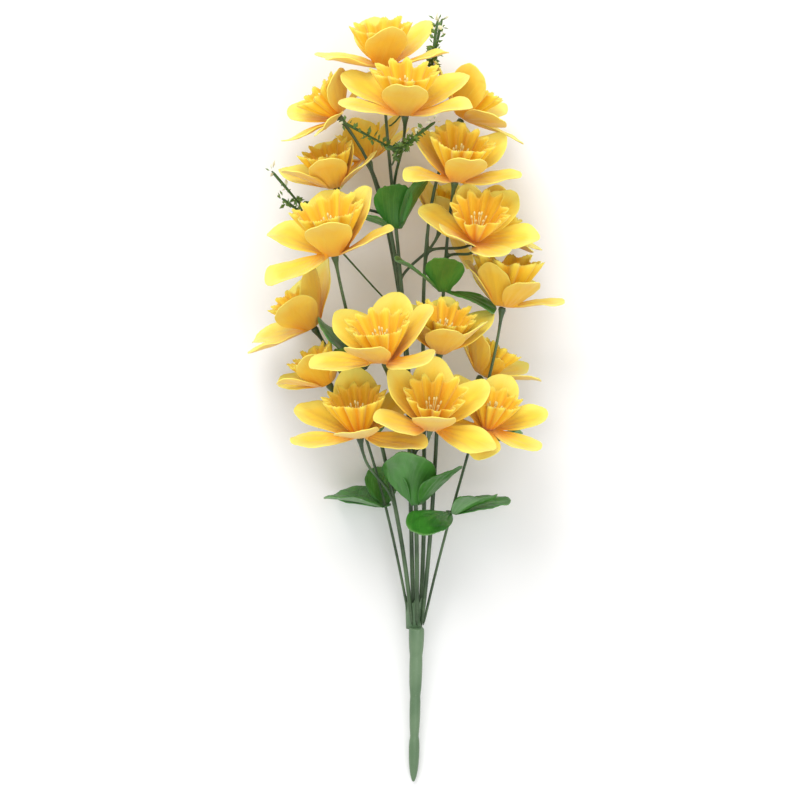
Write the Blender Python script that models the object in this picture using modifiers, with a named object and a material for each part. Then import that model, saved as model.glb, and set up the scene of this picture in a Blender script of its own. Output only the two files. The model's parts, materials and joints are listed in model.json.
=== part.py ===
"""Artificial daffodil bush, lying on a table with its flower heads towards +Y and its spike towards -Y.

A jointed plastic spike holds eight moulded stems. The stems branch, and each branch ends in a fabric head: a
whorl of six petals with a trumpet seated on it. Leaf whorls are threaded on the stems, and fine filler sprigs
are clipped to them. Petals and leaves are set one by one: each bends up or down until it clears what is there.
"""

import math
from collections import namedtuple

import bmesh
import bpy
from mathutils import Matrix, Vector
from mathutils.bvhtree import BVHTree

GAP = 0.0003  # clearance left between pieces that touch
FABRIC = 0.0008  # thickness of a petal, leaf or trumpet wall
UP = Vector((0, 0, 1))
RIGHT = Vector((1, 0, 0))

# The spike, from its pointed tip to the flat top that the stems stand on.
SPIKE_TIP = Vector((0.0110, -0.3120, 0.0045))
SPIKE_TOP = Vector((0.0136, -0.1840, 0.0270))
SPIKE_SIDES = 12
SPIKE_RADIUS = 0.0067
SPIKE_JOINTS = (0.024, 0.058, 0.092)  # distances of its three necks below the top
SPIKE_DIR = (SPIKE_TOP - SPIKE_TIP).normalized()

# Stems: a ring of five thick ones at the spike's top, with thin ones outside it.
THICK, THIN, TWIG = 0.0020, 0.0011, 0.0012
THICK_RING, THIN_RING = 0.0039, 0.0054
CALYX_RADIUS, CALYX_LENGTH = 0.0046, 0.010

# Flower heads.
HUB_RADIUS = 0.007
HUB_SIDES = 12
TRUMPET_SIDES = 12
TRUMPET_FOOT = 0.0052
PETAL_WIDTH = 0.66  # share of the petal's length
PETAL_LIFTS = (16, 30)  # outer and inner petals, degrees above the hub's plane

# How wide a blade is, as a share of its full width, at shares of its length.
PETAL_OUTLINE = ((0.36, 0.86), (0.74, 0.98), (1.0, 0.30))
LEAF_OUTLINE = ((0.34, 0.80), (0.74, 1.00), (1.0, 0.40))

Flower = namedtuple("Flower", "x y z facing petal turn trumpet lifts", defaults=(None,))
FLOWERS = {
    1: Flower(-0.014, 0.268, 0.076, (-0.05, 0.95, 0.30), 0.058, -20, 0.024, (8, 24, 30, 4, 14, 44)),
    2: Flower(0.004, 0.228, 0.118, (0.00, 0.90, 0.42), 0.062, -90, 0.026, (40, 12, 18, 10, 18, 14)),
    3: Flower(-0.050, 0.229, 0.072, (-0.62, 0.72, 0.20), 0.050, 20, 0.019, (30, 20, 34, 10, 0, 30)),
    4: Flower(0.050, 0.227, 0.070, (0.48, 0.82, 0.08), 0.054, -60, 0.020, (10, 6, 30, 30, 20, 34)),
    5: Flower(-0.052, 0.173, 0.066, (-0.25, 0.90, 0.30), 0.052, -30, 0.022, (24, 34, 30, 20, 34, 40)),
    6: Flower(0.044, 0.176, 0.106, (0.15, 0.85, 0.45), 0.056, -80, 0.026, (42, 16, 34, 36, 24, 10)),
    7: Flower(-0.052, 0.117, 0.108, (-0.15, 0.90, 0.40), 0.063, -90, 0.029, (46, 20, 48, 36, 16, -10)),
    8: Flower(0.060, 0.128, 0.104, (0.10, 0.75, 0.65), 0.053, -70, 0.023, (20, 14, 30, 30, 20, 34)),
    9: Flower(0.066, 0.136, 0.056, (0.60, 0.75, 0.00), 0.054, -40, 0.019, (10, 20, 30, 20, 30, 20)),
    10: Flower(-0.070, 0.060, 0.070, (-0.55, 0.80, 0.22), 0.060, -90, 0.022, (40, 50, 40, 24, 8, 10)),
    11: Flower(-0.058, 0.015, 0.080, (-0.50, 0.80, 0.25), 0.047, -90, 0.019, (60, 40, 30, 24, 20, 36)),
    12: Flower(-0.012, 0.032, 0.122, (-0.15, 0.88, 0.45), 0.061, -110, 0.025, (36, 10, 26, 40, 28, 6)),
    13: Flower(0.032, 0.040, 0.092, (0.15, 0.85, 0.42), 0.054, -30, 0.024, (48, 54, 34, 30, 40, 44)),
    14: Flower(0.082, 0.076, 0.082, (0.12, 0.98, 0.15), 0.050, -60, 0.027, (34, 6, 20, 34, 30, 50)),
    15: Flower(0.066, 0.021, 0.054, (0.50, 0.85, 0.02), 0.050, -70, 0.019, (44, 24, 30, 20, 30, 40)),
    16: Flower(0.070, -0.022, 0.090, (0.25, 0.85, 0.40), 0.052, -40, 0.020, (2, 20, 40, 30, 40, 20)),
    17: Flower(-0.032, -0.027, 0.108, (-0.12, 0.90, 0.40), 0.061, -90, 0.025, (38, 12, 34, 30, 16, 6)),
    18: Flower(0.024, -0.020, 0.120, (0.10, 0.78, 0.60), 0.058, -90, 0.024, (46, -2, 20, 40, 20, 20)),
    19: Flower(-0.026, 0.196, 0.034, (-0.30, 0.93, -0.02), 0.048, -90, 0.018),
    20: Flower(0.034, 0.144, 0.030, (0.30, 0.93, -0.02), 0.048, -90, 0.018),
}

# Each stem: where it stands round the spike's top (0 faces up, 90 right), its radius, and the heads it
# carries. The first head ends the stem; each other one leaves it at that share of its length.
Stem = namedtuple("Stem", "round_top radius heads")
STEMS = {
    1: Stem(0, THICK, ((1, 1.0), (2, 0.70), (12, 0.36), (18, 0.25))),
    2: Stem(288, THICK, ((7, 1.0), (17, 0.26))),
    3: Stem(72, THICK, ((6, 1.0), (8, 0.78), (13, 0.42))),
    4: Stem(216, THICK, ((3, 1.0), (5, 0.72))),
    5: Stem(144, THICK, ((4, 1.0), (9, 0.66), (15, 0.34))),
    6: Stem(252, THIN, ((10, 1.0), (11, 0.62))),
    7: Stem(108, THIN, ((14, 1.0), (16, 0.52))),
    8: Stem(180, THIN, ((19, 1.0), (20, 0.66))),
}

# Leaf whorls: the stem, the share of its length, and each blade's direction round the stem (0 faces up, 90
# right), length and lift above the plane across the stem.
LEAF_WIDTH = 0.78
LEAF_COLLAR = 0.0048
LEAF_HEADSTART = 0.020  # whorls are placed with the heads this much higher than themselves
Whorl = namedtuple("Whorl", "stem share blades")
WHORLS = {
    1: Whorl(6, 0.34, ((-65, 0.054, 35), (-130, 0.052, 20), (170, 0.045, 50))),
    2: Whorl(1, 0.19, ((-80, 0.054, 40), (-12, 0.062, 66), (52, 0.056, 50))),
    3: Whorl(7, 0.31, ((-30, 0.052, 60), (40, 0.050, 50), (105, 0.050, 35))),
    4: Whorl(2, 0.64, ((-95, 0.054, 40), (-30, 0.054, 50), (80, 0.050, 45))),
    5: Whorl(3, 0.70, ((-75, 0.050, 45), (0, 0.045, 60), (75, 0.046, 45))),
    6: Whorl(1, 0.66, ((-70, 0.054, 45), (0, 0.045, 70), (70, 0.050, 45))),
    7: Whorl(2, 0.47, ((-80, 0.050, 30), (-20, 0.045, 40), (80, 0.048, 20))),
    8: Whorl(7, 0.50, ((-70, 0.045, 50), (0, 0.050, 60), (80, 0.048, 50))),
}

# Filler sprigs: the stem each is clipped to, the share of its length, its stalk's top, and its twigs' tips.
Sprig = namedtuple("Sprig", "stem share side top tips")
SPRIG_RADIUS, TWIG_END = 0.0009, 0.0022
SPRIGS = {
    1: Sprig(1, 0.88, 100, (0.026, 0.262, 0.070), ((0.040, 0.309, 0.072), (0.030, 0.300, 0.078))),
    2: Sprig(1, 0.79, 20, (0.004, 0.198, 0.116), ((-0.048, 0.222, 0.122), (0.046, 0.226, 0.118), (0.020, 0.214, 0.140))),
    3: Sprig(8, 0.62, 270, (-0.070, 0.146, 0.044), ((-0.098, 0.186, 0.062), (-0.096, 0.164, 0.052))),
}


def material(name, colour, roughness, metallic=0.0):
    made = bpy.data.materials.new(name)
    made.use_nodes = True
    shader = made.node_tree.nodes["Principled BSDF"]
    shader.inputs["Base Color"].default_value = (*colour, 1)
    shader.inputs["Roughness"].default_value = roughness
    shader.inputs["Metallic"].default_value = metallic
    return made


def clear_scene():
    for old in list(bpy.data.objects):
        bpy.data.objects.remove(old)


def add(name, data, collection, finish):
    made = bpy.data.objects.new(name, data)
    if finish:
        made.data.materials.append(finish)
    collection.objects.link(made)
    return made


def facing_matrix(origin, axis):
    """The frame whose Z is the axis and whose X leans to the right, so that 90 degrees faces down."""
    z = Vector(axis).normalized()
    x = (RIGHT - RIGHT.dot(z) * z).normalized()
    turned = Matrix((x, z.cross(x), z)).transposed().to_4x4()
    return Matrix.Translation(origin) @ turned


def around(axis, degrees):
    """A unit direction across the axis: 0 faces up and 90 right."""
    z = Vector(axis).normalized()
    front = (UP - UP.dot(z) * z).normalized()
    side = (RIGHT - RIGHT.dot(z) * z).normalized()
    angle = math.radians(degrees)
    return front * math.cos(angle) + side * math.sin(angle)


def bezier(start, leave, arrive, end, t):
    s = 1 - t
    return start * s**3 + leave * 3 * s * s * t + arrive * 3 * s * t * t + end * t**3


def solid_tree(obj):
    """A search tree of the object's surface as it is now."""
    graph = bpy.context.evaluated_depsgraph_get()
    evaluated = obj.evaluated_get(graph)
    mesh = evaluated.to_mesh()
    points = [obj.matrix_world @ v.co for v in mesh.vertices]
    tree = BVHTree.FromPolygons(points, [tuple(p.vertices) for p in mesh.polygons])
    evaluated.to_mesh_clear()
    return tree


def as_mesh(obj, collection):
    """Turns a curve into a mesh object, with its caps welded and its place kept."""
    bpy.context.view_layer.update()
    graph = bpy.context.evaluated_depsgraph_get()
    mesh = bpy.data.meshes.new_from_object(obj.evaluated_get(graph))
    welded = bmesh.new()
    welded.from_mesh(mesh)
    bmesh.ops.remove_doubles(welded, verts=welded.verts, dist=1e-5)
    welded.to_mesh(mesh)
    welded.free()
    name, place = obj.name, obj.matrix_world.copy()
    curve = obj.data
    bpy.data.objects.remove(obj)
    bpy.data.curves.remove(curve)
    made = bpy.data.objects.new(name, mesh)
    collection.objects.link(made)
    made.matrix_world = place
    return made


def tube(name, points, radii, collection, finish, resolution=1):
    """A round rod along the points, with a radius at each."""
    curve = bpy.data.curves.new(name, "CURVE")
    curve.dimensions = "3D"
    curve.bevel_depth = 1.0
    curve.bevel_resolution = resolution
    curve.use_fill_caps = True
    spline = curve.splines.new("POLY")
    spline.points.add(len(points) - 1)
    for point, place, radius in zip(spline.points, points, radii):
        point.co = (*place, 1)
        point.radius = radius
    return add(name, curve, collection, finish)


def join(main, others):
    """Unites the other rods with the main one and keeps the result as its mesh."""
    for other in others:
        cut = main.modifiers.new("with " + other.name, "BOOLEAN")
        cut.operation = "UNION"
        cut.object = other
    bpy.context.view_layer.update()
    graph = bpy.context.evaluated_depsgraph_get()
    mesh = bpy.data.meshes.new_from_object(main.evaluated_get(graph))
    main.modifiers.clear()
    main.data = mesh
    for other in others:
        bpy.data.objects.remove(other)
    return main


def turned(name, profile, sides, matrix, collection, finish):
    """A profile of (radius, height) pairs spun round its own Z, ends on the axis."""
    mesh = bpy.data.meshes.new(name)
    points = [(r, 0, h) for r, h in profile]
    mesh.from_pydata(points, [(i, i + 1) for i in range(len(points) - 1)], [])
    made = add(name, mesh, collection, finish)
    screw = made.modifiers.new("turn", "SCREW")
    screw.steps = screw.render_steps = sides
    screw.use_merge_vertices = True
    screw.merge_threshold = 1e-5
    made.matrix_world = matrix
    return made


def spike_profile():
    """Four barrel-shaped lengths with a neck between each two, drawn in to a point at the foot."""
    length = (SPIKE_TOP - SPIKE_TIP).length
    profile = [(0, length), (SPIKE_RADIUS - 0.0004, length), (SPIKE_RADIUS, length - 0.003)]
    radius = SPIKE_RADIUS
    for depth in SPIKE_JOINTS:
        neck = length - depth
        profile.append((radius - 0.0004, neck + 0.006))
        profile.append((radius - 0.0016, neck))
        radius = max(radius - 0.0010, 0.0048)
        profile.append((radius, neck - 0.003))
    profile += [(radius - 0.0004, 0.016), (radius * 0.62, 0.006), (0.0012, 0.0005), (0, 0)]
    return profile


def trumpet_profile(mouth):
    """A flared, closed-bottomed cup: inner wall up, over the rim, outer wall down."""
    height = mouth * 1.3
    foot = FABRIC / 2 + GAP
    waist, waist_height = mouth * 0.46, height * 0.45
    return [
        (0, foot + FABRIC * 1.6),
        (TRUMPET_FOOT - FABRIC, foot + FABRIC * 1.6),
        (waist - FABRIC, waist_height + foot),
        (mouth - FABRIC, height + foot),
        (mouth, height + foot),
        (waist, waist_height + foot - FABRIC * 0.6),
        (TRUMPET_FOOT, foot),
        (0, foot),
    ]


def blade_rows(azimuth, length, width, lift, curl, cup, start, outline):
    """Rows of three points down a blade, along a bent centre line."""
    across = Vector((-math.sin(azimuth), math.cos(azimuth), 0))
    out = Vector((math.cos(azimuth), math.sin(azimuth), 0))
    reach, height, angle = start, 0.0, lift
    last, rows = 0.0, []
    for share, fullness in outline:
        angle = lift + curl * (share + last) / 2
        step = (share - last) * (length - start)
        reach += step * math.cos(angle)
        height += step * math.sin(angle)
        last = share
        half = width / 2 * fullness
        normal = UP * math.cos(angle) - out * math.sin(angle)
        centre = out * reach + UP * height
        raised = normal * cup * half
        rows.append((centre - across * half + raised, centre, centre + across * half + raised))
    return rows


def blade_skin(matrix, azimuth, length, width, lift, curl, cup, start, outline, allowance):
    """Two skins either side of a blade, for testing what it would touch."""
    root = Vector((math.cos(azimuth), math.sin(azimuth), 0)) * start
    across = Vector((-math.sin(azimuth), math.cos(azimuth), 0)) * start * 0.5
    rows = [(root - across, root, root + across)]
    rows += blade_rows(azimuth, length, width, lift, curl, cup, start, outline)
    normal = (rows[1][1] - rows[0][1]).cross(across).normalized() * allowance
    points, faces = [], []
    for side in (-1, 1):
        first = len(points)
        for row in rows[:]:
            points += [matrix @ (p + normal * side) for p in row]
        for r in range(len(rows) - 1):
            for c in range(2):
                a = first + r * 3 + c
                faces.append((a, a + 1, a + 4, a + 3))
    return points, faces


def settle(matrix, azimuth, length, width, lift, curl, cup, start, outline, placed):
    """The nearest lift, then length, at which the blade touches nothing already there, or None without room."""
    for share in (1.0, 0.9, 0.8, 0.68, 0.56, 0.44):
        for shift in (0, 7, -7, 14, -14, 21, -21, 28, -28, 36, -36, 44, -44, 54, -54, 66, -66):
            tried = lift + math.radians(shift)
            if abs(tried) > math.radians(76):
                continue
            args = (azimuth, length * share, width * share, tried, curl, cup, start, outline)
            points, faces = blade_skin(matrix, *args, FABRIC * 1.1)
            if min(p.z for p in points) < FABRIC:
                continue
            tree = BVHTree.FromPolygons(points, faces)
            if not any(tree.overlap(other) for other in placed):
                return args
    return None


def whorl(name, matrix, blades, hole, rim, collection, finish):
    """A disc, or a ring with a hole, with blades drawn out from its edge, as one sheet given its thickness."""
    sheet = bmesh.new()
    bmesh.ops.create_circle(sheet, cap_ends=not hole, segments=HUB_SIDES, radius=rim)
    edge = sorted(sheet.verts, key=lambda v: math.atan2(v.co.y, v.co.x) % math.tau)
    if hole:
        inner = [sheet.verts.new(v.co * (hole / rim)) for v in edge]
        for i in range(HUB_SIDES):
            j = (i + 1) % HUB_SIDES
            sheet.faces.new((inner[i], edge[i], edge[j], inner[j]))
    for azimuth, *shape in blades:
        middle = round(azimuth / math.tau * HUB_SIDES) % HUB_SIDES
        row = [edge[(middle + k) % HUB_SIDES] for k in (-1, 0, 1)]
        for places in blade_rows(azimuth, *shape):
            fresh = [sheet.verts.new(place) for place in places]
            for k in range(2):
                sheet.faces.new((row[k], fresh[k], fresh[k + 1], row[k + 1]))
            row = fresh
    bmesh.ops.recalc_face_normals(sheet, faces=sheet.faces)
    mesh = bpy.data.meshes.new(name)
    sheet.to_mesh(mesh)
    sheet.free()
    made = add(name, mesh, collection, finish)
    thicken = made.modifiers.new("thickness", "SOLIDIFY")
    thicken.thickness = FABRIC
    thicken.offset = 0
    made.matrix_world = matrix
    return made


def calyx_foot(head):
    """Where a head's rod begins to swell, and the way the head faces."""
    flower = FLOWERS[head]
    facing = Vector(flower.facing).normalized()
    base = Vector((flower.x, flower.y, flower.z))
    return base - facing * (FABRIC / 2 + GAP + CALYX_LENGTH), facing


def stem_run(number):
    """The stem's own Bezier, from the spike's top to the foot of the calyx that ends it."""
    stem = STEMS[number]
    ring = THICK_RING if stem.radius == THICK else THIN_RING
    outward = around(SPIKE_DIR, stem.round_top)
    start = SPIKE_TOP + outward * ring + SPIKE_DIR * GAP
    end, facing = calyx_foot(stem.heads[0][0])
    reach = (end - start).length
    spread = 0.10 if stem.radius == THICK else 0.20
    leave = start + (SPIKE_DIR + outward * spread).normalized() * reach * 0.42
    return start, leave, end - facing * reach * 0.22, end


def branch_run(number, head, share):
    """A side branch's Bezier, from the stem's centre line to the foot of its own calyx."""
    start, along = stem_place(number, share)
    end, facing = calyx_foot(head)
    reach = (end - start).length
    return start, start + along * reach * 0.40, end - facing * reach * 0.35, end


def stem_place(number, share):
    """A place on a stem's centre line and the way the stem runs there."""
    run = stem_run(number)
    here = bezier(*run, share)
    return here, (bezier(*run, share + 0.01) - here).normalized()


def stem_radius(number, share):
    radius = STEMS[number].radius
    return radius + (TWIG - radius) * share


def rod_on(run, radius, steps, facing):
    """Points along a Bezier and the radii there, with a calyx swelling straight on from its end."""
    points = [bezier(*run, i / steps) for i in range(steps + 1)]
    radii = [radius + (TWIG - radius) * i / steps for i in range(steps + 1)]
    points += [run[3] + facing * CALYX_LENGTH * 0.5, run[3] + facing * CALYX_LENGTH]
    return points, radii + [CALYX_RADIUS * 0.6, CALYX_RADIUS]


def make_stem(number, collection, helpers, finish):
    stem = STEMS[number]
    facing = calyx_foot(stem.heads[0][0])[1]
    points, radii = rod_on(stem_run(number), stem.radius, 12, facing)
    main = as_mesh(tube(f"stem_{number}", points, radii, collection, finish), collection)
    sides = []
    for head, share in stem.heads[1:]:
        points, radii = rod_on(branch_run(number, head, share), TWIG, 6, calyx_foot(head)[1])
        sides.append(as_mesh(tube(f"branch_{head}", points, radii, helpers, finish), helpers))
    return join(main, sides) if sides else main


def head_matrix(flower):
    return facing_matrix(Vector((flower.x, flower.y, flower.z)), flower.facing)


def disc_tree(matrix, radius):
    """A thin drum across the axis, keeping the room that a hub or a collar will need."""
    drum = bmesh.new()
    place = matrix @ Matrix.Diagonal((radius, radius, FABRIC * 1.2, 1))
    bmesh.ops.create_cone(drum, cap_ends=True, segments=12, radius1=1, radius2=1, depth=1, matrix=place)
    tree = BVHTree.FromBMesh(drum)
    drum.free()
    return tree


def whorl_matrix(number):
    return facing_matrix(*stem_place(WHORLS[number].stem, WHORLS[number].share))


def make_petals(number, placed, collection, finish):
    flower = FLOWERS[number]
    matrix = head_matrix(flower)
    name = f"petals_{number:02d}"
    others = [tree for key, tree in placed.items() if key != name]
    blades = []
    for k in range(6):
        azimuth = math.radians(flower.turn + 60 * k) % math.tau
        lift = flower.lifts[k] if flower.lifts else PETAL_LIFTS[k % 2]
        width = flower.petal * PETAL_WIDTH
        shape = (flower.petal, width, math.radians(lift), math.radians(10), 0.22, HUB_RADIUS, PETAL_OUTLINE)
        blades.append(settle(matrix, azimuth, *shape, others))
    return whorl(name, matrix, filter(None, blades), 0, HUB_RADIUS, collection, finish)


def make_leaves(number, placed, collection, finish):
    whorled = WHORLS[number]
    name = f"leaves_{number}"
    others = [tree for key, tree in placed.items() if key != name]
    matrix = whorl_matrix(number)
    axis = stem_place(whorled.stem, whorled.share)[1]
    blades = []
    for direction, length, lift in whorled.blades:
        local = matrix.to_3x3().inverted() @ around(axis, direction)
        azimuth = math.atan2(local.y, local.x) % math.tau
        shape = (length, length * LEAF_WIDTH, math.radians(lift), math.radians(-20), 0.15, LEAF_COLLAR)
        shape += (LEAF_OUTLINE,)
        blades.append(settle(matrix, azimuth, *shape, others))
    hole = stem_radius(whorled.stem, whorled.share) + GAP * 2
    return whorl(name, matrix, filter(None, blades), hole, LEAF_COLLAR, collection, finish)


def twig_points(start, end, bow):
    """Three points on a twig, bowed upwards in the middle."""
    return [start, (start + end) / 2 + UP * bow, end]


def clear_of(name, points, radii, others):
    """Whether a rod along the points, a little fattened, touches nothing in the list."""
    scene = bpy.context.scene.collection
    trial = tube(name, points, [r + GAP for r in radii], scene, None)
    bpy.context.view_layer.update()
    tree = solid_tree(trial)
    curve = trial.data
    bpy.data.objects.remove(trial)
    bpy.data.curves.remove(curve)
    return not any(tree.overlap(other) for other in others)


def make_sprig(number, placed, collection, helpers, finish):
    """A stalk clipped to a stem, and twigs from its top, each tip moved until its twig is clear."""
    sprig = SPRIGS[number]
    here, along = stem_place(sprig.stem, sprig.share)
    outward = around(along, sprig.side)
    others = list(placed.values())
    foot = here + outward * (stem_radius(sprig.stem, sprig.share) + GAP)
    moves = sorted(
        (Vector((x, y, z)) * 0.006 for x in range(-4, 5) for y in range(-2, 3) for z in range(-4, 5)),
        key=lambda move: move.length,
    )
    stalk = None
    for move in moves:
        top = Vector(sprig.top) + move
        points = [foot, foot + outward * 0.004, *twig_points(foot + outward * 0.004, top, 0.004)[1:]]
        radii = [SPRIG_RADIUS] * 4
        if clear_of("trial", points[1:], radii[1:], others):
            stalk = as_mesh(tube(f"sprig_{number}", points, radii, collection, finish), collection)
            break
    twigs = []
    for tip in sprig.tips:
        for move in moves:
            points = twig_points(top - (top - foot).normalized() * 0.003, Vector(tip) + move, 0.003)
            radii = [SPRIG_RADIUS, SPRIG_RADIUS, TWIG_END]
            if clear_of("trial", points, radii, others):
                twigs.append(as_mesh(tube(f"twig_{len(twigs)}", points, radii, helpers, finish), helpers))
                break
    return join(stalk, twigs)


def set_down(pieces):
    """Moves the whole bush so that its box stands on the table, centred on the origin."""
    graph = bpy.context.evaluated_depsgraph_get()
    low, high = Vector((1, 1, 1)), Vector((-1, -1, -1))
    for piece in pieces:
        evaluated = piece.evaluated_get(graph)
        mesh = evaluated.to_mesh()
        for vertex in mesh.vertices:
            point = piece.matrix_world @ vertex.co
            low, high = Vector(map(min, low, point)), Vector(map(max, high, point))
        evaluated.to_mesh_clear()
    middle = (low + high) / 2
    move = Matrix.Translation((-middle.x, -middle.y, -low.z))
    for piece in pieces:
        piece.matrix_world = move @ piece.matrix_world


def main():
    clear_scene()
    scene = bpy.context.scene
    bush = bpy.data.collections.new("artificial_daffodil_bush")
    helpers = bpy.data.collections.new("helpers")
    scene.collection.children.link(bush)
    scene.collection.children.link(helpers)
    spike_green = material("spike green", (0.12, 0.20, 0.10), 0.45)
    stem_green = material("stem green", (0.05, 0.10, 0.04), 0.35)
    petal_yellow = material("petal yellow", (0.86, 0.62, 0.06), 0.75)
    trumpet_gold = material("trumpet gold", (0.90, 0.55, 0.03), 0.75)
    leaf_green = material("leaf green", (0.06, 0.25, 0.04), 0.40)

    spike_place = facing_matrix(SPIKE_TIP, SPIKE_DIR)
    pieces = [turned("spike", spike_profile(), SPIKE_SIDES, spike_place, bush, spike_green)]
    for number in STEMS:
        pieces.append(make_stem(number, bush, helpers, stem_green))
    for number, flower in FLOWERS.items():
        profile = trumpet_profile(flower.trumpet)
        name = f"trumpet_{number:02d}"
        pieces.append(turned(name, profile, TRUMPET_SIDES, head_matrix(flower), bush, trumpet_gold))
    bpy.context.view_layer.update()
    placed = {piece.name: solid_tree(piece) for piece in pieces}
    for number, flower in FLOWERS.items():
        placed[f"petals_{number:02d}"] = disc_tree(head_matrix(flower), HUB_RADIUS * 1.05)
    for number in WHORLS:
        placed[f"leaves_{number}"] = disc_tree(whorl_matrix(number), LEAF_COLLAR * 1.05)
    order = [(flower.z, make_petals, number, petal_yellow) for number, flower in FLOWERS.items()]
    for number, whorled in WHORLS.items():
        height = stem_place(whorled.stem, whorled.share)[0].z + LEAF_HEADSTART
        order.append((height, make_leaves, number, leaf_green))
    for height, make, number, finish in sorted(order, key=lambda item: -item[0]):
        pieces.append(make(number, placed, bush, finish))
        bpy.context.view_layer.update()
        placed[pieces[-1].name] = solid_tree(pieces[-1])
    for number in SPRIGS:
        pieces.append(make_sprig(number, placed, bush, helpers, stem_green))
        bpy.context.view_layer.update()
        placed[pieces[-1].name] = solid_tree(pieces[-1])
    set_down(pieces)
    return pieces


PIECES = main()
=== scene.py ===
"""Artificial daffodil bush lying on a pale table: fabric heads on moulded stems, above a jointed spike."""

import json
import math
import random

import bmesh
import bpy
from mathutils import Matrix, Vector, noise

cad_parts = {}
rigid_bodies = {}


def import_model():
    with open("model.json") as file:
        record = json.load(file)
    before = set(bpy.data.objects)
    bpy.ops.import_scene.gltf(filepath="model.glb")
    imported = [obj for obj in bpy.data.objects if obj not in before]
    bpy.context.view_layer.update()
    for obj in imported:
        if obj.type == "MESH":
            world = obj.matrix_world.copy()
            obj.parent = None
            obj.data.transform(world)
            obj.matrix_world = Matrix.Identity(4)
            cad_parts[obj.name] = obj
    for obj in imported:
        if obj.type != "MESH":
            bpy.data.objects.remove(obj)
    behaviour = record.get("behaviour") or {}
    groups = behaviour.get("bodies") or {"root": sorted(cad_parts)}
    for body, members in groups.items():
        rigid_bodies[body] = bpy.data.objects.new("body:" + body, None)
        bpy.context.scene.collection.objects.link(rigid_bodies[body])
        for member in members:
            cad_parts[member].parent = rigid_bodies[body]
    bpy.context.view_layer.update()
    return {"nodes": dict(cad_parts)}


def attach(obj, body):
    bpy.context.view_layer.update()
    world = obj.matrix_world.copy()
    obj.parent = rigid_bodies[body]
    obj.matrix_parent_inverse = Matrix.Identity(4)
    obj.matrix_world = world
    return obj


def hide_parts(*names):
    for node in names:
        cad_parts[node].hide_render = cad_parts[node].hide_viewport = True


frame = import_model()
bpy.ops.object.select_all(action="DESELECT")

# ---- Table, light and camera -------------------------------------------------------------------------------
# The bush lies on a white sweep under a large soft light above its heads, seen from straight overhead with a
# long lens, so that its stems run up the picture.
spike_points = [v.co.copy() for v in bpy.data.objects["spike"].data.vertices]
spike_tip = min(spike_points, key=lambda p: p.y)
middle = Vector((spike_tip.x - 0.011, spike_tip.y + 0.3128, 0.08))

bpy.ops.mesh.primitive_plane_add(size=12, location=(0, 0, -0.0005))
table = bpy.context.object
table.name = "table"
table_white = bpy.data.materials.new("table white")
table_white.use_nodes = True
table_white.node_tree.nodes["Principled BSDF"].inputs["Base Color"].default_value = (0.93, 0.93, 0.93, 1)
table_white.node_tree.nodes["Principled BSDF"].inputs["Roughness"].default_value = 0.9
table.data.materials.append(table_white)

bpy.ops.object.camera_add(location=(middle.x, middle.y, middle.z + 3.2), rotation=(0, 0, 0))
camera = bpy.context.object
camera.data.lens = 180
camera.data.clip_end = 30
bpy.context.scene.camera = camera

for name, place, aim, size, power in (
    ("key light", (-0.5, 1.7, 1.9), (0, 0.05, 0.05), 1.3, 34),
    ("front light", (0.6, -0.5, 2.6), (0, 0, 0.05), 2.2, 24),
):
    bpy.ops.object.light_add(type="AREA", location=place)
    lamp = bpy.context.object
    lamp.name = name
    lamp.data.size = size
    lamp.data.energy = power
    lamp.rotation_euler = (Vector(aim) - Vector(place)).to_track_quat("-Z", "Y").to_euler()
world = bpy.data.worlds.new("studio")
world.use_nodes = True
world.node_tree.nodes["Background"].inputs["Color"].default_value = (1, 1, 1, 1)
world.node_tree.nodes["Background"].inputs["Strength"].default_value = 0.72
bpy.context.scene.world = world
bpy.context.scene.view_settings.view_transform = "Standard"


# ---- Petals ------------------------------------------------------------------------------------------------
# Six satin polyester petals die-cut in one whorl, heat-pressed with fine ribs, and dyed orange at the root and
# lemon at the edge; painted shade darkens their undersides and deepens their roots to amber. Each whorl follows
# its own solid, rounded, rippled and curled.
class Socket:
    """A shader value: arithmetic on it adds the Math nodes."""

    def __init__(self, tree, link):
        self.tree = tree
        self.link = link

    def math(self, operation, other):
        node = self.tree.nodes.new("ShaderNodeMath")
        node.operation = operation
        for socket, value in zip(node.inputs, (self, other)):
            feed(self.tree, socket, value)
        return Socket(self.tree, node.outputs[0])

    def __add__(self, other):
        return self.math("ADD", other)

    def __sub__(self, other):
        return self.math("SUBTRACT", other)

    def __mul__(self, other):
        return self.math("MULTIPLY", other)

    def __pow__(self, other):
        return self.math("POWER", other)

    def __rsub__(self, other):
        return (self * -1) + other

    __radd__ = __add__
    __rmul__ = __mul__


def feed(tree, socket, value):
    if isinstance(value, Socket):
        tree.links.new(value.link, socket)
    else:
        socket.default_value = value


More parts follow.
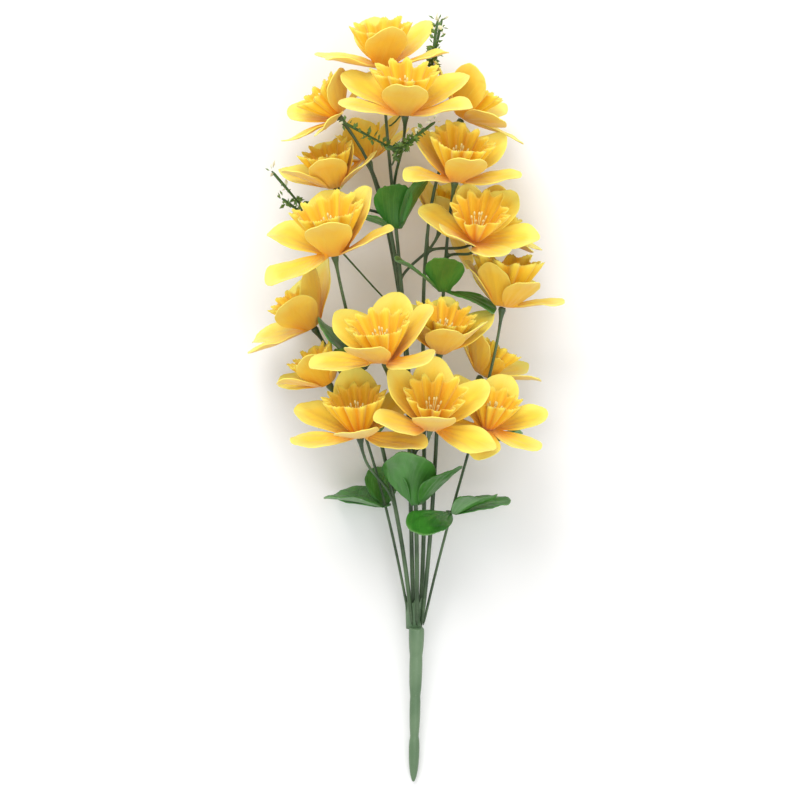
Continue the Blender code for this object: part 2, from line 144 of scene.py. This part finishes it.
class Finish:
    """A Principled material whose nodes are added one method call at a time."""

    def __init__(self, name, roughness, **fixed):
        self.material = bpy.data.materials.new(name)
        self.material.use_nodes = True
        self.tree = self.material.node_tree
        self.shader = self.tree.nodes["Principled BSDF"]
        self.set("Roughness", roughness)
        for key, value in fixed.items():
            self.set(key.replace("_", " "), value)

    def set(self, key, value):
        feed(self.tree, self.shader.inputs[key], value)

    def node(self, kind, settings, output, **inputs):
        made = self.tree.nodes.new("ShaderNode" + kind)
        for key, value in settings.items():
            setattr(made, key, value)
        for key, value in inputs.items():
            feed(self.tree, made.inputs[key.replace("_", " ")], value)
        return Socket(self.tree, made.outputs[output])

    def attribute(self, name):
        """The three parts of a point attribute."""
        colour = self.node("Attribute", {"attribute_name": name}, "Vector")
        split = self.tree.nodes.new("ShaderNodeSeparateXYZ")
        feed(self.tree, split.inputs[0], colour)
        return [Socket(self.tree, out) for out in split.outputs]

    def vector(self, x, y, z):
        return self.node("CombineXYZ", {}, "Vector", X=x, Y=y, Z=z)

    def noise(self, vector, scale, detail=2.0):
        return self.node("TexNoise", {}, "Fac", Vector=vector, Scale=scale, Detail=detail)

    def blend(self, share, first, second):
        made = self.tree.nodes.new("ShaderNodeMix")
        made.data_type = "RGBA"
        feed(self.tree, made.inputs[0], share)
        for socket, value in ((made.inputs[6], first), (made.inputs[7], second)):
            feed(self.tree, socket, value if isinstance(value, Socket) else (*value, 1))
        return Socket(self.tree, made.outputs[2])

    def step(self, value, low, high):
        return self.node("MapRange", {"interpolation_type": "SMOOTHSTEP"}, "Result",
                         Value=value, From_Min=low, From_Max=high)

    def bump(self, height, strength, distance):
        self.set("Normal", self.node("Bump", {}, "Normal", Height=height, Strength=strength, Distance=distance))


# Lemon, gold and orange are the dye; the amber is painted shade for the roots.
LEMON, GOLD, ORANGE, AMBER_SHADE = (0.92, 0.84, 0.16), (0.93, 0.66, 0.05), (0.88, 0.40, 0.012), (0.60, 0.17, 0.004)


def satin(name, edge_colour, body_colour, root_colour, root_shade_colour):
    """Ribbed satin: "shade" holds reach and edge for the dye and an underside mask for painted shade; "flow" runs
    across and along the cloth.
    """
    cloth = Finish(name, 0.55, Sheen_Weight=0.25, Specular_IOR_Level=0.35)
    reach, edge, underside_shade = cloth.attribute("shade")
    across, along, number = cloth.attribute("flow")
    streak = cloth.noise(cloth.vector(across * 520, along * 26, number), 1.0, 3.0)
    cloud = cloth.noise(cloth.vector(across * 40, along * 30, number), 1.0, 2.0)
    body = cloth.blend(cloth.step(reach + (cloud - 0.5) * 0.5, 0.08, 0.55), root_colour, body_colour)
    pale = cloth.step(reach * 0.75 + edge * 0.45 + (cloud - 0.5) * 0.5, 0.55, 1.15)
    body = cloth.blend(pale, body, edge_colour)
    body = cloth.blend(cloth.step(streak, 0.52, 0.80) * 0.35, body, edge_colour)
    body = cloth.blend(cloth.step(1 - streak, 0.55, 0.85) * 0.25, body, root_colour)
    # Painted shade: the undersides, and the pleat valleys, are turned towards the root orange.
    body = cloth.blend(underside_shade * 0.45, body, root_colour)
    # Painted shade: the very root, where the petals meet the trumpet, is deepened to amber past the orange dye.
    body = cloth.blend(cloth.step(1 - reach, 0.86, 1.0) * 0.7, body, root_shade_colour)
    cloth.set("Base Color", body)
    weave = cloth.noise(cloth.vector(across * 2600, along * 900, number), 1.0, 1.0)
    cloth.bump(streak * 0.7 + weave * 0.3, 0.35, 0.0006)
    return cloth.material


petal_satin = satin("petal satin", LEMON, GOLD, ORANGE, AMBER_SHADE)


def cage_copy(node, name):
    """A welded copy of a node's solid, ready to be smoothed."""
    source = bpy.data.objects[node]
    made = bpy.data.objects.new(name, source.data.copy())
    made.matrix_world = Matrix.Identity(4)
    bpy.context.collection.objects.link(made)
    made.data.materials.clear()
    bpy.ops.object.select_all(action="DESELECT")
    made.select_set(True)
    bpy.context.view_layer.objects.active = made
    bpy.ops.object.mode_set(mode="EDIT")
    bpy.ops.mesh.select_all(action="SELECT")
    bpy.ops.mesh.remove_doubles(threshold=0.00002)
    bpy.ops.mesh.tris_convert_to_quads(face_threshold=math.radians(40), shape_threshold=math.radians(60))
    bpy.ops.object.mode_set(mode="OBJECT")
    return made


def mark_rim(piece, short, crease):
    """Marks the points at a sheet's rim, and stiffens the edges along it so that its outline holds."""
    cage = bmesh.new()
    cage.from_mesh(piece.data)
    rim = {v.index for v in cage.verts if any(e.calc_length() < short for e in v.link_edges)}
    creases = cage.edges.layers.float.new("crease_edge")
    for edge in cage.edges:
        if edge.verts[0].index in rim and edge.verts[1].index in rim and edge.calc_length() > short:
            edge[creases] = crease
    cage.to_mesh(piece.data)
    cage.free()
    marks = piece.data.attributes.new("rim", "FLOAT", "POINT")
    for point, mark in zip(piece.data.vertices, marks.data):
        mark.value = 1.0 if point.index in rim else 0.0


def smooth(piece, levels):
    bpy.ops.object.select_all(action="DESELECT")
    piece.select_set(True)
    bpy.context.view_layer.objects.active = piece
    rounder = piece.modifiers.new("rounding", "SUBSURF")
    rounder.levels = rounder.render_levels = levels
    bpy.ops.object.modifier_apply(modifier=rounder.name)
    bpy.ops.object.shade_smooth()


def head_axis(trumpet):
    """A head's foot on its axis, the way it faces, and its trumpet's mouth radius and height."""
    points = {tuple(round(c, 6) for c in v.co) for v in bpy.data.objects[trumpet].data.vertices}
    points = [Vector(p) for p in sorted(points)]
    centre = sum(points, Vector()) / len(points)
    mouth = sorted(points, key=lambda p: -(p - centre).length)[:12]
    middle = sum(mouth, Vector()) / 12
    axis = (middle - centre).normalized()
    low = min((p - centre).dot(axis) for p in points)
    high = max((p - centre).dot(axis) for p in points)
    return centre + axis * low, axis, sum((p - middle).length for p in mouth) / 12, high - low


def across_axis(axis):
    side = axis.orthogonal().normalized()
    return side, axis.cross(side)


def write_shades(piece, shades, flows):
    for name, values in (("shade", shades), ("flow", flows)):
        made = piece.data.attributes.new(name, "FLOAT_VECTOR", "POINT")
        made.data.foreach_set("vector", [c for value in values for c in value])


def dress_sheet(piece, foot, axis, seed, ripple, ribs, curl):
    """Ripples, ribs and curls a rounded whorl, and writes its shades and its flow for the cloth's colour: reach
    and rim for the dye, and the underside for painted shade.
    """
    mesh = piece.data
    side, other = across_axis(axis)
    rims = [mark.value for mark in mesh.attributes["rim"].data]
    far = max((v.co - foot).length for v in mesh.vertices)
    offset = Vector((seed * 3.1, seed * 1.7, seed * 0.9))
    shades, flows = [], []
    for vertex, rim in zip(mesh.vertices, rims):
        from_foot = vertex.co - foot
        reach = min(from_foot.length / far, 1.0)
        angle = math.atan2(from_foot.dot(other), from_foot.dot(side))
        flat = (from_foot - axis * from_foot.dot(axis)).length
        wave = noise.noise(vertex.co * 34 + offset) * 0.7 + noise.noise(vertex.co * 75 + offset) * 0.3
        bend = noise.noise(Vector((angle * 1.6, seed, 0)))
        lift = ripple * wave * (0.35 + rim) * reach + curl * bend * max(reach - 0.6, 0) ** 2 / 0.16
        lift += ribs * math.sin(angle * 84 + wave * 3) * min(reach * 2, 1) * (1 - rim * 0.5)
        lift += ribs * 2.2 * math.sin(angle * 23 + seed) * (1 - reach) * reach * 3
        # Painted shade: faces turned against the axis are marked, to be darkened in the cloth's colour.
        underside_shade = min(max(-vertex.normal.dot(axis) * 1.4, 0), 1)
        shades.append((reach, rim, underside_shade))
        flows.append((angle * flat * 0.5 + angle * 0.012, flat, seed % 97))
        vertex.co += axis * lift
    write_shades(piece, shades, flows)


heads = sorted(node for node in frame["nodes"] if node.startswith("trumpet_"))
for seed, trumpet in enumerate(heads, start=1):
    foot, axis, mouth, height = head_axis(trumpet)
    node = trumpet.replace("trumpet", "petals")
    petals = cage_copy(node, node + "_satin")
    mark_rim(petals, 0.0013, 0.62)
    smooth(petals, 3)
    dress_sheet(petals, foot, axis, seed, 0.0042, 0.00022, 0.006)
    petals.data.materials.append(petal_satin)
    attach(petals, "root")
    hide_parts(node)

# ---- Trumpets ----------------------------------------------------------------------------------------------
# A strip of the same satin gathered into deep pleats and glued into a flared cup, with a pinked, uneven rim.
# Each is as wide and tall as its solid; six bead-ended stamens stand inside it. Painted shade darkens its pleat
# valleys.
trumpet_satin = satin("trumpet satin", (0.93, 0.80, 0.12), (0.92, 0.60, 0.03), (0.84, 0.33, 0.008), AMBER_SHADE)
AROUND, UPWARD = 168, 14


def pleated_cup(name, foot, axis, mouth, height, seed):
    """A gathered cup made from a flat grid that is rolled up, folded into pleats and pinked along its rim."""
    chance = random.Random(seed)
    bpy.ops.object.select_all(action="DESELECT")
    bpy.ops.mesh.primitive_grid_add(x_subdivisions=AROUND, y_subdivisions=UPWARD, size=1)
    cup = bpy.context.object
    cup.name = name
    side, other = across_axis(axis)
    pleats = chance.choice((11, 12, 13))
    leans = [chance.uniform(-0.9, 0.9) for _ in range(pleats)]
    depths = [chance.uniform(0.75, 1.25) for _ in range(pleats)]
    shades, flows = [], []
    for vertex in cup.data.vertices:
        turn, rise = vertex.co.x + 0.5, vertex.co.y + 0.5
        angle = turn * math.tau
        place = turn * pleats
        fold = math.cos(place * math.tau)
        fold = math.copysign(abs(fold) ** 0.72, fold) * depths[int(place) % pleats]
        wander = noise.noise(Vector((math.cos(angle) * 1.4, math.sin(angle) * 1.4, seed + rise)))
        radius = 0.0047 + (mouth * 0.97 - 0.0047) * rise ** 0.85
        radius += (fold * 0.135 - 0.05) * mouth * rise ** 0.9 + wander * 0.10 * mouth * rise
        pink = abs((turn * pleats * 7) % 1 - 0.5) * 0.0022
        up = height * (rise ** 0.9) * (1 + wander * 0.14) + (pink + fold * 0.0016) * rise**6
        twist = leans[int(place) % pleats] * 0.05 * rise * math.sin(place * math.pi) ** 2
        angle += twist
        vertex.co = foot + axis * (up + 0.0004)
        vertex.co += (side * math.cos(angle) + other * math.sin(angle)) * radius
        # Painted shade: the pleat valleys get a shorter reach and an underside mark, so they darken towards
        # orange.
        valley_shade = max(-fold, 0) * 0.9
        shades.append((0.20 + rise * 0.62 - valley_shade * 0.34 * rise, rise**8, valley_shade * 0.9))
        flows.append((turn * math.tau * mouth, up, seed))
    write_shades(cup, shades, flows)
    bpy.ops.object.mode_set(mode="EDIT")
    bpy.ops.mesh.select_all(action="SELECT")
    bpy.ops.mesh.remove_doubles(threshold=0.00005)
    bpy.ops.mesh.normals_make_consistent(inside=False)
    bpy.ops.object.mode_set(mode="OBJECT")
    wall = cup.modifiers.new("cloth", "SOLIDIFY")
    wall.thickness = 0.0004
    wall.offset = 0
    bpy.ops.object.modifier_apply(modifier=wall.name)
    bpy.ops.object.shade_smooth()
    return cup


anther_cream = Finish("anther cream", 0.6)
anther_cream.set("Base Color", anther_cream.blend(
    anther_cream.noise(anther_cream.node("TexCoord", {}, "Object"), 900), (0.86, 0.74, 0.22), (0.92, 0.88, 0.52)))


def stamens(name, foot, axis, height):
    """Six thin filaments round a taller style, each ending in a bead."""
    side, other = across_axis(axis)
    beads = []
    for k in range(7):
        angle = k * math.tau / 6
        spread = 0.0 if k == 6 else 0.0030
        tall = height * (0.86 if k == 6 else 0.74)
        start = foot + axis * 0.0016 + (side * math.cos(angle) + other * math.sin(angle)) * spread * 0.4
        end = foot + axis * tall + (side * math.cos(angle) + other * math.sin(angle)) * spread * 1.9
        turned = (end - start).to_track_quat("Z", "Y").to_euler()
        bpy.ops.mesh.primitive_cone_add(vertices=6, radius1=0.0005, radius2=0.0003, depth=(end - start).length,
                                        location=(start + end) / 2, rotation=turned)
        beads.append(bpy.context.object)
        bpy.ops.mesh.primitive_ico_sphere_add(subdivisions=2, radius=0.0011, location=end, rotation=turned)
        bead = bpy.context.object
        bead.scale = (0.8, 0.8, 1.9)
        beads.append(bead)
    bpy.ops.object.select_all(action="DESELECT")
    for bead in beads:
        bead.select_set(True)
    bpy.context.view_layer.objects.active = beads[0]
    bpy.ops.object.join()
    made = bpy.context.object
    bpy.ops.object.transform_apply(location=True, rotation=True, scale=True)
    bpy.ops.object.shade_smooth()
    made.name = name
    return made


for seed, trumpet in enumerate(heads, start=1):
    foot, axis, mouth, height = head_axis(trumpet)
    cup = pleated_cup(trumpet + "_pleated", foot, axis, mouth, height, seed)
    cup.data.materials.append(trumpet_satin)
    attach(cup, "root")
    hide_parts(trumpet)
    beads = stamens(trumpet.replace("trumpet", "stamens"), foot, axis, height)
    beads.data.materials.append(anther_cream.material)
    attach(beads, "root")

# ---- Leaf whorls -------------------------------------------------------------------------------------------
# Glazed green cloth blades, pressed with ribs that fan out from the collar, threaded on the stems.
leaf_cloth = Finish("leaf cloth", 0.34, Specular_IOR_Level=0.6)
reach, edge, underside_shade = leaf_cloth.attribute("shade")
across, along, number = leaf_cloth.attribute("flow")
vein = leaf_cloth.noise(leaf_cloth.vector(across * 420, along * 14, number), 1.0, 2.0)
cloud = leaf_cloth.noise(leaf_cloth.vector(across * 40, along * 40, number), 1.0, 2.0)
green = leaf_cloth.blend(leaf_cloth.step(cloud, 0.3, 0.7), (0.020, 0.150, 0.012), (0.055, 0.290, 0.030))
green = leaf_cloth.blend(leaf_cloth.step(vein, 0.52, 0.75) * 0.45, green, (0.13, 0.38, 0.07))
green = leaf_cloth.blend(leaf_cloth.step(edge * reach, 0.80, 1.0) * 0.45, green, (0.22, 0.45, 0.15))
# Painted shade: the blades' undersides, facing away from the key light, are tinted a yellower green.
green = leaf_cloth.blend(underside_shade * 0.5, green, (0.10, 0.26, 0.05))
green = leaf_cloth.blend(leaf_cloth.step(1 - reach, 0.75, 1.0) * 0.6, green, (0.012, 0.070, 0.008))
leaf_cloth.set("Base Color", green)
leaf_cloth.bump(vein, 0.5, 0.0008)

for seed, node in enumerate(sorted(n for n in frame["nodes"] if n.startswith("leaves_")), start=41):
    leaves = cage_copy(node, node + "_ribbed")
    mark_rim(leaves, 0.0013, 0.62)
    collar = bmesh.new()
    collar.from_mesh(leaves.data)
    points = [v.co.copy() for v in collar.verts]
    collar.free()
    crowd = min(points, key=lambda p: sum(sorted((p - q).length for q in points)[:30]))
    near = sorted(points, key=lambda p: (p - crowd).length)[:48]
    foot = sum(near, Vector()) / len(near)
    centre = sum(points, Vector()) / len(points)
    stem_way = (centre - foot).normalized()
    stem_way = (stem_way * 0.3 + Vector((0, 1, 0))).normalized()
    smooth(leaves, 3)
    dress_sheet(leaves, foot, stem_way, seed, 0.0036, 0.00035, 0.010)
    leaves.data.materials.append(leaf_cloth.material)
    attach(leaves, "root")
    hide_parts(node)

# ---- Stems -------------------------------------------------------------------------------------------------
# Moulded plastic over wire, dark green with a paler bloom, swelling to a calyx under each head.
stem_plastic = Finish("stem plastic", 0.42)
spot = stem_plastic.node("TexCoord", {}, "Object")
tone = stem_plastic.noise(spot, 45, 4.0)
grain = stem_plastic.noise(spot, 700, 3.0)
skin = stem_plastic.blend(stem_plastic.step(tone, 0.3, 0.7), (0.028, 0.060, 0.022), (0.085, 0.150, 0.065))
skin = stem_plastic.blend(stem_plastic.step(grain, 0.6, 0.75) * 0.35, skin, (0.20, 0.28, 0.16))
stem_plastic.set("Base Color", skin)
stem_plastic.bump(grain, 0.3, 0.0004)

for node in sorted(n for n in frame["nodes"] if n.startswith("stem_")):
    stem = cage_copy(node, node + "_moulded")
    smooth(stem, 1)
    for vertex in stem.data.vertices:
        vertex.co += vertex.normal * 0.00018
    stem.data.materials.append(stem_plastic.material)
    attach(stem, "root")
    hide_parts(node)

# ---- Spike -------------------------------------------------------------------------------------------------
# The bush's handle, moulded in one with four jointed lengths and a fluted crown that clasps the stems.
spike_plastic = Finish("spike plastic", 0.46)
spot = spike_plastic.node("TexCoord", {}, "Object")
tone = spike_plastic.noise(spot, 30, 3.0)
grain = spike_plastic.noise(spot, 900, 3.0)
skin = spike_plastic.blend(spike_plastic.step(tone, 0.3, 0.7), (0.095, 0.175, 0.085), (0.150, 0.240, 0.130))
skin = spike_plastic.blend(spike_plastic.step(grain, 0.62, 0.78) * 0.5, skin, (0.30, 0.40, 0.27))
spike_plastic.set("Base Color", skin)
spike_plastic.bump(grain * 0.6 + tone * 0.4, 0.25, 0.0005)

spike = cage_copy("spike", "spike_moulded")
smooth(spike, 2)
spike.data.materials.append(spike_plastic.material)
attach(spike, "root")
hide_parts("spike")

top_points = sorted(spike_points, key=lambda p: -p.y)[:24]
spike_top = sum(top_points, Vector()) / len(top_points)
spike_way = (spike_top - spike_tip).normalized()
CROWN_LENGTH = 0.024
bpy.ops.object.select_all(action="DESELECT")
bpy.ops.mesh.primitive_cylinder_add(vertices=48, radius=0.0068, depth=CROWN_LENGTH, end_fill_type="NOTHING")
crown = bpy.context.object
crown.name = "spike_crown"
bpy.ops.object.mode_set(mode="EDIT")
bpy.ops.mesh.select_all(action="SELECT")
bpy.ops.mesh.subdivide(number_cuts=2)
bpy.ops.object.mode_set(mode="OBJECT")
turned = spike_way.to_track_quat("Z", "Y").to_matrix().to_4x4()
for vertex in crown.data.vertices:
    rise = vertex.co.z / CROWN_LENGTH + 0.5
    angle = math.atan2(vertex.co.y, vertex.co.x)
    flare = 0.97 + 0.10 * rise + 0.05 * math.sin(angle * 8) * rise
    vertex.co.x *= flare
    vertex.co.y *= flare
    vertex.co.z += math.sin(angle * 8) * 0.002 * rise
crown.data.transform(Matrix.Translation(spike_top + spike_way * (CROWN_LENGTH / 2 - 0.002)) @ turned)
shell = crown.modifiers.new("wall", "SOLIDIFY")
shell.thickness = 0.0006
shell.offset = -1
bpy.ops.object.modifier_apply(modifier=shell.name)
bpy.ops.object.shade_smooth()
crown.data.materials.append(spike_plastic.material)
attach(crown, "root")

# ---- Filler sprigs -----------------------------------------------------------------------------------------
# Fine moulded twigs set with little pointed leaves, dark green below and tipped with white at their ends.
sprig_plastic = Finish("sprig plastic", 0.5)
reach, edge, underside_shade = sprig_plastic.attribute("shade")
tint = sprig_plastic.blend(sprig_plastic.step(reach, 0.1, 0.8), (0.022, 0.075, 0.010), (0.12, 0.22, 0.04))
tint = sprig_plastic.blend(sprig_plastic.step(edge, 0.3, 0.9), tint, (0.80, 0.80, 0.62))
sprig_plastic.set("Base Color", tint)
LEAFLET = 0.0058


def leaflets(name, twig, seed):
    """Small folded leaves set round a twig's outer stretches, the last of them white-tipped."""
    chance = random.Random(seed)
    cage = bmesh.new()
    cage.from_mesh(twig.data)
    bmesh.ops.subdivide_edges(cage, edges=[e for e in cage.edges if e.calc_length() > 0.008], cuts=5)
    cage.normal_update()
    spots = [(v.co.copy(), v.normal.copy()) for v in cage.verts]
    cage.free()
    root = min((p for p, n in spots), key=lambda p: p.y)
    far = max((p - root).length for p, n in spots)
    outer = [(p, n) for p, n in spots if (p - root).length > far * 0.42]
    chance.shuffle(outer)
    made = bmesh.new()
    values = []
    for place, way in outer[:130]:
        reach = (place - root).length / far
        out = (way + Vector([chance.uniform(-0.7, 0.7) for _ in range(3)]) + Vector((0, 0.5, 0))).normalized()
        side = out.cross(Vector([chance.uniform(-1, 1) for _ in range(3)])).normalized()
        length = LEAFLET * chance.uniform(0.7, 1.25)
        rise = out.cross(side) * length * 0.14
        leaf = [place, place + out * length * 0.5 + side * length * 0.30, place + out * length,
                place + out * length * 0.5 - side * length * 0.30, place + out * length * 0.55 + rise]
        corners = [made.verts.new(p) for p in leaf]
        under_side = made.verts.new(leaf[4] - rise * 1.5)
        for a, b in ((0, 1), (1, 2), (2, 3), (3, 0)):
            made.faces.new((corners[a], corners[b], corners[4]))
            made.faces.new((corners[b], corners[a], under_side))
        white = 1.0 if reach > 0.86 and chance.random() < 0.55 else 0.0
        values += [(reach, white * (0.4 if k == 0 else 1.0), 0) for k in range(6)]
    mesh = bpy.data.meshes.new(name)
    made.to_mesh(mesh)
    made.free()
    piece = bpy.data.objects.new(name, mesh)
    bpy.context.collection.objects.link(piece)
    write_shades(piece, values, values)
    return piece


for seed, node in enumerate(sorted(n for n in frame["nodes"] if n.startswith("sprig_")), start=71):
    twig = cage_copy(node, node + "_twig")
    foliage = leaflets(node + "_leaflets", twig, seed)
    smooth(twig, 1)
    write_shades(twig, [(0.3, 0, 0)] * len(twig.data.vertices), [(0, 0, 0)] * len(twig.data.vertices))
    twig.data.materials.append(sprig_plastic.material)
    foliage.data.materials.append(sprig_plastic.material)
    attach(twig, "root")
    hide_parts(node)
    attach(foliage, "root")
